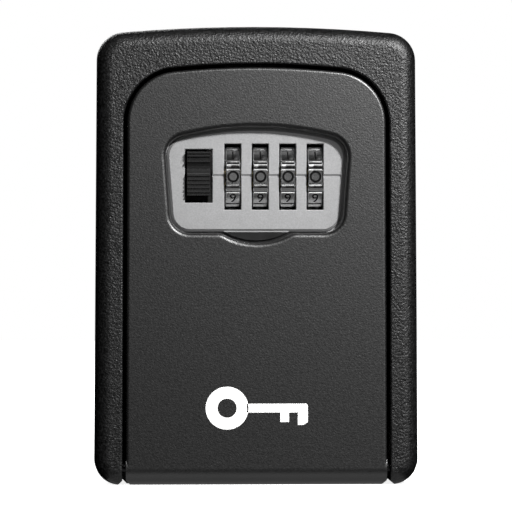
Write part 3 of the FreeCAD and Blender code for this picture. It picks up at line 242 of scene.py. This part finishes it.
def powder_coat():
    """Grainy black powder coat of the case."""
    finish = Finish("powder_coat", (0.008, 0.008, 0.0082), 0.45)
    grain = finish.noise(0.55, 3)
    finish.colour(finish.ramp(grain, 0.42, 0.68, (0.001, 0.001, 0.001), (0.008, 0.008, 0.0083)))
    finish.roughness(finish.levels(finish.noise(1.4), 0.38, 0.5))
    finish.bump(grain, 0.2, 1.0)
    return finish.material


def satin_black():
    """Smooth satin black coat of the door with a faint orange peel."""
    finish = Finish("satin_black", (0.008, 0.008, 0.0082), 0.42)
    peel = finish.noise(0.45, 3)
    finish.colour(finish.ramp(peel, 0.35, 0.7, (0.001, 0.001, 0.001), (0.003, 0.003, 0.0031)))
    finish.shader.inputs["Specular IOR Level"].default_value = 1.0
    finish.roughness(finish.levels(finish.noise(0.7, 3), 0.38, 0.45))
    finish.bump(peel, 0.05, 1.0)
    return finish.material


def silver_satin():
    """Silver grey satin lacquer of the number plate."""
    finish = Finish("silver_satin", (0.4, 0.4, 0.405), 0.42, 0.2)
    speckle = finish.noise(0.3, 3)
    silver = finish.ramp(speckle, 0.3, 0.75, (0.222, 0.222, 0.224), (0.288, 0.288, 0.291))
    split = finish.node("ShaderNodeSeparateXYZ")
    finish.link(finish.place, split.inputs["Vector"])
    above = finish.node("ShaderNodeMath", operation="GREATER_THAN")
    above.inputs[1].default_value = THUMB_TAB_TOP * MM
    finish.link(split.outputs["Z"], above.inputs[0])
    mix = finish.node("ShaderNodeMix", data_type="RGBA")
    finish.link(above.outputs["Value"], mix.inputs["Factor"])
    mix.inputs["A"].default_value = (0.003, 0.003, 0.003, 1)
    finish.link(silver, mix.inputs["B"])
    finish.colour(mix.outputs["Result"])
    finish.roughness(finish.levels(finish.noise(3.0), 0.38, 0.48))
    finish.bump(speckle, 0.01, 0.5)
    return finish.material


def plated_chrome():
    """Plated die-cast metal with fine machining lines and dull patches."""
    shade = 0.72
    roughness = 0.16
    finish = Finish("plated_chrome", (shade, shade, shade), roughness, 1.0)
    cloud = finish.noise(1.1, 3)
    finish.colour(finish.ramp(cloud, 0.3, 0.7, (shade * 0.75,) * 3, (shade,) * 3))
    finish.roughness(finish.levels(cloud, roughness * 0.8, roughness * 1.7))
    finish.bump(finish.noise(0.5, 2, (0.15, 1, 1)), 0.012, 0.5)
    return finish.material


def digit_ink():
    """Black paint wiped into the engraved digits."""
    finish = Finish("digit_ink", (0.006, 0.006, 0.006), 0.7)
    finish.shader.inputs["Specular IOR Level"].default_value = 0.05
    wear = finish.noise(0.25, 3)
    finish.colour(finish.ramp(wear, 0.35, 0.8, (0.001, 0.001, 0.001), (0.008, 0.008, 0.008)))
    finish.bump(wear, 0.01, 0.6)
    return finish.material


def black_grip():
    """Moulded black plastic of the slider."""
    finish = Finish("black_grip", (0.012, 0.012, 0.012), 0.33)
    grain = finish.noise(0.18, 2)
    finish.colour(finish.ramp(grain, 0.3, 0.7, (0.009, 0.009, 0.009), (0.018, 0.018, 0.018)))
    finish.roughness(finish.levels(grain, 0.14, 0.24))
    finish.bump(grain, 0.01, 0.5)
    return finish.material


def brushed_metal(name, colour, roughness, stretch):
    """Metal with lines drawn along one axis and a soft cloudy tone."""
    finish = Finish(name, colour, roughness, 1.0)
    lines = finish.noise(0.25, 3, stretch)
    dark = tuple(0.72 * part for part in colour)
    finish.colour(finish.ramp(finish.noise(2.5, 3), 0.3, 0.7, dark, colour))
    finish.roughness(finish.levels(lines, roughness * 0.75, roughness * 1.3))
    finish.bump(lines, 0.012, 0.6)
    return finish.material


def moulded_plastic(name, colour, roughness=0.5):
    """Moulded plastic with a fine eroded texture."""
    finish = Finish(name, colour, roughness)
    grain = finish.noise(0.3, 2)
    dark = tuple(0.8 * part for part in colour)
    finish.colour(finish.ramp(grain, 0.3, 0.7, dark, colour))
    finish.roughness(finish.levels(finish.noise(2.0), roughness * 0.85, roughness * 1.15))
    finish.bump(grain, 0.02, 0.6)
    return finish.material


def sign_ink():
    """White pad-printed ink."""
    finish = Finish("sign_ink", (0.85, 0.85, 0.84), 0.5)
    cover = finish.noise(0.4, 3)
    finish.colour(finish.ramp(cover, 0.3, 0.6, (0.8, 0.8, 0.79), (0.9, 0.9, 0.89)))
    finish.bump(cover, 0.004, 0.5)
    return finish.material


def studio_floor():
    """Plain white floor."""
    finish = Finish("studio_floor", (0.93, 0.93, 0.93), 0.8)
    finish.shader.inputs["Emission Color"].default_value = (1, 1, 1, 1)
    finish.shader.inputs["Emission Strength"].default_value = FLOOR_GLOW
    return finish.material


def make_finishes():
    """One material for each of the record's slots."""
    return {
        "textured_case": powder_coat(),
        "satin_door": satin_black(),
        "silver_plate": silver_satin(),
        "chrome_dial": plated_chrome(),
        "black_grip": black_grip(),
        "black_steel": brushed_metal("black_steel", (0.05, 0.05, 0.052), 0.4, (1, 1, 0.05)),
        "pin_steel": brushed_metal("pin_steel", (0.55, 0.55, 0.55), 0.25, (0.05, 1, 1)),
        "spring_steel": brushed_metal("spring_steel", (0.5, 0.5, 0.51), 0.28, (1, 1, 0.1)),
        "zinc_frame": brushed_metal("zinc_frame", (0.62, 0.62, 0.6), 0.35, (1, 1, 0.05)),
        "sleeve_brass": brushed_metal("sleeve_brass", (0.5, 0.39, 0.2), 0.25, (1, 0.2, 0.2)),
        "screw_steel": brushed_metal("screw_steel", (0.6, 0.6, 0.6), 0.25, (1, 0.3, 1)),
        "cover_plastic": moulded_plastic("cover_plastic", (0.025, 0.025, 0.026)),
        "reset_plastic": moulded_plastic("reset_plastic", (0.45, 0.45, 0.43)),
    }


def paint(piece, material):
    """Gives a piece one material in all of its slots."""
    if not piece.material_slots:
        piece.data.materials.append(material)
    for holder in piece.material_slots:
        holder.material = material


def node_slots():
    """The record's slot of each CAD node."""
    return {entry["node"]: entry["material_slot"] for entry in frame["record"]["subparts"]}


# ---------------------------------------------------------------- mesh helpers


def add_piece(name, mesh, body):
    """A named object that rides a body; its finish comes with its mesh."""
    piece = bpy.data.objects.new(name, mesh)
    bpy.context.scene.collection.objects.link(piece)
    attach(piece, body)
    return piece


def mesh_from(name, build):
    """A mesh made by a function that fills a bmesh."""
    mesh = bpy.data.meshes.new(name)
    made = bmesh.new()
    build(made)
    bmesh.ops.recalc_face_normals(made, faces=made.faces)
    made.to_mesh(mesh)
    made.free()
    return mesh


def loop_of_points(made, points):
    """Mesh points at places given in millimetres."""
    return [made.verts.new(Vector(point) * MM) for point in points]


def bridge(made, first, second):
    """Quads between two closed rings of the same length."""
    count = len(first)
    for place in range(count):
        after = (place + 1) % count
        made.faces.new((first[place], first[after], second[after], second[place]))


def prism(made, outline, low, high, to_point):
    """Solid between two copies of a flat outline; to_point lifts (a, b, height) into space."""
    bottom = loop_of_points(made, [to_point(a, b, low) for a, b in outline])
    top = loop_of_points(made, [to_point(a, b, high) for a, b in outline])
    made.faces.new(bottom[::-1])
    made.faces.new(top)
    bridge(made, bottom, top)


def ring_prism(made, outer, inner, low, high, to_point):
    """Solid between two round outlines of equal length."""
    rings = []
    for outline in (outer, inner):
        for height in (low, high):
            rings.append(loop_of_points(made, [to_point(a, b, height) for a, b in outline]))
    outer_low, outer_high, inner_low, inner_high = rings
    bridge(made, outer_low, outer_high)
    bridge(made, inner_high, inner_low)
    bridge(made, outer_high, inner_high)
    bridge(made, inner_low, outer_low)


def circle(radius, count, centre=(0, 0)):
    """Evenly spaced points of a circle."""
    step = 2 * math.pi / count
    return [
        (centre[0] + radius * math.cos(step * turn), centre[1] + radius * math.sin(step * turn))
        for turn in range(count)
    ]


# ---------------------------------------------------------------- dials


def dial_profile(angle):
    """Radius of the wheel at an angle from the middle of a digit's pad, in degrees."""
    flat = DIAL_RADIUS * math.cos(math.radians(PAD_HALF_ANGLE))
    if abs(angle) <= PAD_HALF_ANGLE:
        return flat / math.cos(math.radians(angle))
    ridge_start = SECTOR / 2 - RIDGE_HALF_ANGLE
    if abs(angle) < ridge_start:
        return DIAL_RADIUS - GROOVE_DEPTH
    return RIDGE_TOP - ridge_drop(SECTOR / 2 - abs(angle))


def ridge_drop(angle):
    """How far a ridge falls below its top at an angle from its middle; its section is an arc."""
    half_width = math.radians(RIDGE_HALF_ANGLE) * DIAL_RADIUS
    across = math.radians(angle) * DIAL_RADIUS
    arc = (half_width ** 2 + RIDGE_HEIGHT ** 2) / (2 * RIDGE_HEIGHT)
    return arc - math.sqrt(arc ** 2 - across ** 2)


def dial_angles():
    """Angles within one sector where the wheel's outline has points."""
    pad = [PAD_HALF_ANGLE * place / 3 for place in range(-3, 4)]
    ridge_start = SECTOR / 2 - RIDGE_HALF_ANGLE
    groove = [(PAD_HALF_ANGLE + ridge_start) / 2]
    ridge = [SECTOR / 2 - RIDGE_HALF_ANGLE * part for part in (1.0, 0.8, 0.6, 0.4, 0.2)]
    right = groove + ridge
    return [-angle for angle in reversed(right)] + pad + right + [SECTOR / 2]


def dial_outline(inset):
    """Closed outline of the wheel in its own plane, drawn in by an inset."""
    points = []
    for sector in range(DIGITS):
        for angle in dial_angles():
            radius = dial_profile(angle) - inset
            turn = math.radians(sector * SECTOR + angle)
            points.append((radius * math.cos(turn), radius * math.sin(turn)))
    return points


def fill_wheel(made, width):
    """The wheel: chamfered rims, flat pads, grooves and ridges, with a plain bore."""
    half = width / 2
    stations = [
        (-half, DIAL_CHAMFER),
        (-half + DIAL_CHAMFER, 0),
        (half - DIAL_CHAMFER, 0),
        (half, DIAL_CHAMFER),
    ]
    rings = [
        loop_of_points(made, [(x, -a, -b) for a, b in dial_outline(inset)])
        for x, inset in stations
    ]
    for first, second in zip(rings, rings[1:]):
        bridge(made, first, second)
    count = len(rings[0])
    bores = []
    for x in (-half, half):
        points = []
        for place in range(count):
            vertex = rings[0][place].co
            turn = math.atan2(vertex.z, vertex.y)
            points.append((x, DIAL_BORE * math.cos(turn), DIAL_BORE * math.sin(turn)))
        bores.append(loop_of_points(made, points))
    bridge(made, rings[-1], bores[1])
    bridge(made, bores[1], bores[0])
    bridge(made, bores[0], rings[0])


def digit_mesh(digit):
    """Flat solid of one digit, standing in the XY plane and centred on the origin, in metres."""
    if digit == 0:
        def fill(made):
            outer = circle(RING_OUTER, RING_STEPS)
            inner = circle(RING_INNER, RING_STEPS)
            ring_prism(made, outer, inner, -DIGIT_DEPTH, 2 * CUTTER_REACH,
                       lambda a, b, height: (a, b, height))
        return mesh_from("digit_0", fill)
    words = bpy.data.curves.new(f"digit_{digit}", "FONT")
    words.body = str(digit)
    words.size = DIGIT_HEIGHT * MM / DIGIT_CAP
    words.extrude = CUTTER_REACH * MM
    words.resolution_u = 4
    holder = bpy.data.objects.new(f"digit_{digit}", words)
    bpy.context.scene.collection.objects.link(holder)
    bpy.context.view_layer.update()
    mesh = bpy.data.meshes.new_from_object(holder)
    bpy.data.objects.remove(holder)
    low = Vector(min(vertex.co[axis] for vertex in mesh.vertices) for axis in range(3))
    high = Vector(max(vertex.co[axis] for vertex in mesh.vertices) for axis in range(3))
    shift = -(low + high) / 2
    shift.z = -low.z - DIGIT_DEPTH * MM
    mesh.transform(Matrix.Translation(shift))
    return mesh


def digit_place(digit):
    """Matrix that stands a flat digit on its pad, which faces -Y for the digit 0."""
    flat = DIAL_RADIUS * math.cos(math.radians(PAD_HALF_ANGLE)) * MM
    face_front = Matrix.Rotation(math.radians(90), 4, "X")
    turn = Matrix.Rotation(math.radians(-SECTOR * digit), 4, "X")
    return turn @ Matrix.Translation((0, -flat, 0)) @ face_front


def engrave(wheel, ink):
    """Cuts the ten digits into the wheel; the cut faces keep the ink material."""
    cutters = bmesh.new()
    for digit in range(DIGITS):
        mesh = digit_mesh(digit)
        mesh.transform(digit_place(digit))
        cutters.from_mesh(mesh)
        bpy.data.meshes.remove(mesh)
    bmesh.ops.remove_doubles(cutters, verts=cutters.verts, dist=WELD_DISTANCE)
    bmesh.ops.recalc_face_normals(cutters, faces=cutters.faces)
    cutter_mesh = bpy.data.meshes.new("digit_cutters")
    cutters.to_mesh(cutter_mesh)
    cutters.free()
    cutter_mesh.materials.append(ink)
    cutter = bpy.data.objects.new("digit_cutters", cutter_mesh)
    bpy.context.scene.collection.objects.link(cutter)
    cut = wheel.modifiers.new("digits", "BOOLEAN")
    cut.operation = "DIFFERENCE"
    cut.solver = "EXACT"
    cut.material_mode = "TRANSFER"
    cut.object = cutter
    bpy.context.view_layer.update()
    engraved = bpy.data.meshes.new_from_object(
        wheel.evaluated_get(bpy.context.evaluated_depsgraph_get())
    )
    wheel.modifiers.clear()
    bpy.data.objects.remove(cutter)
    return engraved


def make_dials(chrome, ink):
    """Four engraved wheels; the first is cut and the others share its mesh."""
    low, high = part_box("dial_1")
    width = (high.x - low.x) / MM
    plain = mesh_from("dial_wheel", lambda made: fill_wheel(made, width))
    plain.materials.append(chrome)
    template = bpy.data.objects.new("wheel_template", plain)
    bpy.context.scene.collection.objects.link(template)
    engraved = engrave(template, ink)
    bpy.data.objects.remove(template)
    engraved.name = "dial_wheel_engraved"
    for number in range(1, DIAL_COUNT + 1):
        node = f"dial_{number}"
        low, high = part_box(node)
        piece = add_piece(f"digit_{node}", engraved, f"wheel_{number}")
        piece.location = (low + high) / 2
        bpy.context.view_layer.update()
        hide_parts(node)


# ---------------------------------------------------------------- sign and springs


def sign_point(across, up, height):
    """A point of the key sign: how far across, up from its middle, and proud of the door."""
    return (across, cad_low.y / MM - height, SIGN_UP + up)


def fill_sign(made):
    """A plain key lying across: a ring, a shaft and two bits."""
    left = -(SIGN_SHAFT + 2 * SIGN_HEAD) / 2 + SIGN_HEAD
    outer = circle(SIGN_HEAD, SIGN_STEPS, (left, 0))
    inner = circle(SIGN_EYE, SIGN_STEPS, (left, 0))
    ring_prism(made, outer, inner, 0, SIGN_THICK, sign_point)
    start = left + SIGN_HEAD - SIGN_TIP
    end = left + SIGN_HEAD + SIGN_SHAFT
    half = SIGN_SHAFT_HALF
    bit = end - SIGN_FIRST_BIT
    long_bit = end - SIGN_SECOND_BIT
    outline = [
        (start, -half),
        (bit, -half),
        (bit, -half - SIGN_BIT),
        (bit + SIGN_BIT_WIDTH, -half - SIGN_BIT),
        (bit + SIGN_BIT_WIDTH, -half),
        (long_bit, -half),
        (long_bit, -half - SIGN_LONG_BIT),
        (end - half, -half - SIGN_LONG_BIT),
        (end, -half - SIGN_BIT),
        (end, half - SIGN_TIP),
        (end - SIGN_TIP, half),
        (start, half),
    ]
    prism(made, outline, 0, SIGN_THICK, sign_point)


def make_sign(ink):
    """The printed key sign on the door."""
    mesh = mesh_from("key_sign", fill_sign)
    mesh.materials.append(ink)
    add_piece("key_sign", mesh, "door")


def fill_coil(made, radius, length, turns, to_point):
    """Round wire wound into a spring with one closed turn at each end."""
    closed = COIL_WIRE * CLOSED_PITCH
    live_length = length - 2 * COIL_WIRE - 2 * closed
    rings = []
    for step in range((turns + 2) * COIL_STEPS + 1):
        turn = step / COIL_STEPS
        live_part = min(max(turn - 1, 0), turns) / turns
        closed_part = min(turn, 1) + max(turn - 1 - turns, 0)
        along = COIL_WIRE + closed_part * closed + live_part * live_length
        angle = 2 * math.pi * turn
        points = []
        for side in range(WIRE_SIDES):
            around = 2 * math.pi * side / WIRE_SIDES
            reach = radius + COIL_WIRE * math.cos(around)
            height = along + COIL_WIRE * math.sin(around)
            points.append(to_point(reach * math.cos(angle), reach * math.sin(angle), height))
        rings.append(loop_of_points(made, points))
    for first, second in zip(rings, rings[1:]):
        bridge(made, first, second)
    made.faces.new(rings[0][::-1])
    made.faces.new(rings[-1])


def make_latch_spring(steel):
    """The latch spring stands upright on its ledge and is squeezed from above."""
    low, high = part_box("latch_spring")
    centre = (low + high) / 2 / MM
    radius = (high.x - low.x) / MM / 2 - COIL_WIRE
    length = (high.z - low.z) / MM

    def upright(a, b, along):
        return (centre.x + a, centre.y + b, low.z / MM + along)

    def fill(made):
        fill_coil(made, radius, length, LATCH_TURNS, upright)

    mesh = mesh_from("latch_coil", fill)
    mesh.materials.append(steel)
    latch = add_piece("latch_coil", mesh, "door")
    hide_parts("latch_spring")
    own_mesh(latch)


def make_reset_spring(steel):
    """The reset spring lies along the spindle and is squeezed from the left."""
    start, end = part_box("reset_spring")
    middle = (start + end) / 2 / MM
    radius = (end.z - start.z) / MM / 2 - COIL_WIRE
    length = (end.x - start.x) / MM

    def lying(a, b, along):
        return (start.x / MM + along, middle.y + a, middle.z + b)

    def fill(made):
        fill_coil(made, radius, length, RESET_TURNS, lying)

    mesh = mesh_from("reset_coil", fill)
    mesh.materials.append(steel)
    reset = add_piece("reset_coil", mesh, "door")
    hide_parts("reset_spring")
    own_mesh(reset)


# ---------------------------------------------------------------- studio


def aim(thing, target):
    """Turns a light or camera towards a point."""
    thing.rotation_mode = "QUATERNION"
    thing.rotation_quaternion = (target - thing.location).to_track_quat("-Z", "Y")


def make_camera():
    """A long lens in front of the safe, a little to its left."""
    data = bpy.data.cameras.new("camera")
    data.sensor_width = SENSOR
    data.lens = SENSOR * CAMERA_DISTANCE / FRAME_WIDTH
    camera = bpy.data.objects.new("camera", data)
    bpy.context.scene.collection.objects.link(camera)
    turn = math.radians(CAMERA_AZIMUTH)
    target = Vector((AIM_ACROSS * MM, cad_low.y, (cad_low.z + cad_high.z) / 2 + AIM_UP * MM))
    camera.location = target + Vector((math.sin(turn), -math.cos(turn), 0)) * CAMERA_DISTANCE * MM
    aim(camera, target)
    bpy.context.scene.camera = camera


def add_light(name, place, size, power, target=LIGHT_TARGET):
    """A soft round light that faces a target."""
    data = bpy.data.lights.new(name, "AREA")
    data.shape = "DISK"
    data.size = size
    data.energy = power
    light = bpy.data.objects.new(name, data)
    bpy.context.scene.collection.objects.link(light)
    light.location = Vector(place)
    aim(light, Vector(target))
    return light


def make_world():
    """Dim white light from all sides, out of the reflections, and a pure white backdrop."""
    world = bpy.data.worlds.new("studio")
    bpy.context.scene.world = world
    world.use_nodes = True
    tree = world.node_tree
    shade = tree.nodes["Background"]
    shade.inputs["Color"].default_value = (1, 1, 1, 1)
    shade.inputs["Strength"].default_value = WORLD_STRENGTH
    white = tree.nodes.new("ShaderNodeBackground")
    white.inputs["Color"].default_value = (1, 1, 1, 1)
    mix = tree.nodes.new("ShaderNodeMixShader")
    seen = tree.nodes.new("ShaderNodeLightPath")
    tree.links.new(seen.outputs["Is Camera Ray"], mix.inputs["Fac"])
    tree.links.new(shade.outputs["Background"], mix.inputs[1])
    tree.links.new(white.outputs["Background"], mix.inputs[2])
    tree.links.new(mix.outputs["Shader"], tree.nodes["World Output"].inputs["Surface"])
    world.cycles_visibility.glossy = False


def fill_floor(made):
    """One square at the height of the safe's foot."""
    half = FLOOR_HALF
    corners = [(-half, -half), (half, -half), (half, half), (-half, half)]
    made.faces.new([made.verts.new((x, y, cad_low.z)) for x, y in corners])


def make_floor():
    """White floor that the camera sees, but that neither lights the safe nor shows in it."""
    floor = bpy.data.objects.new("floor", mesh_from("floor", fill_floor))
    floor.data.materials.append(studio_floor())
    bpy.context.scene.collection.objects.link(floor)
    floor.visible_diffuse = False
    floor.visible_glossy = False


def make_studio():
    """White surroundings, a key light from the upper right and soft panels."""
    make_world()
    make_floor()
    for light in LIGHTS:
        add_light(*light)
    place = (0, STRIP_FORWARD, STRIP_UP)
    strip = add_light("floor_glow", place, STRIP_LENGTH, STRIP_POWER, (0, STRIP_FORWARD, 0))
    strip.data.shape = "RECTANGLE"
    strip.data.size_y = STRIP_WIDTH
    strip.visible_camera = False
    bpy.context.scene.view_settings.view_transform = "Standard"


# ---------------------------------------------------------------- the whole scene


def finish_nodes(finishes):
    """Gives each shown CAD node the finish of its slot."""
    for node, slot in node_slots().items():
        paint(frame["nodes"][node], finishes[slot])


def soften(node, width):
    """Rounds a CAD node's sharp edges a little, in millimetres."""
    bevel = frame["nodes"][node].modifiers.new("soft_edges", "BEVEL")
    bevel.width = width * MM
    bevel.segments = 2
    bevel.limit_method = "ANGLE"
    bevel.angle_limit = math.radians(SHARP_ANGLE)


make_camera()
make_studio()
finishes = make_finishes()
finish_nodes(finishes)
soften("open_slider", SLIDER_EDGE)
soften("faceplate", PLATE_EDGE)
make_dials(finishes["chrome_dial"], digit_ink())
make_sign(sign_ink())
make_latch_spring(finishes["spring_steel"])
make_reset_spring(finishes["spring_steel"])
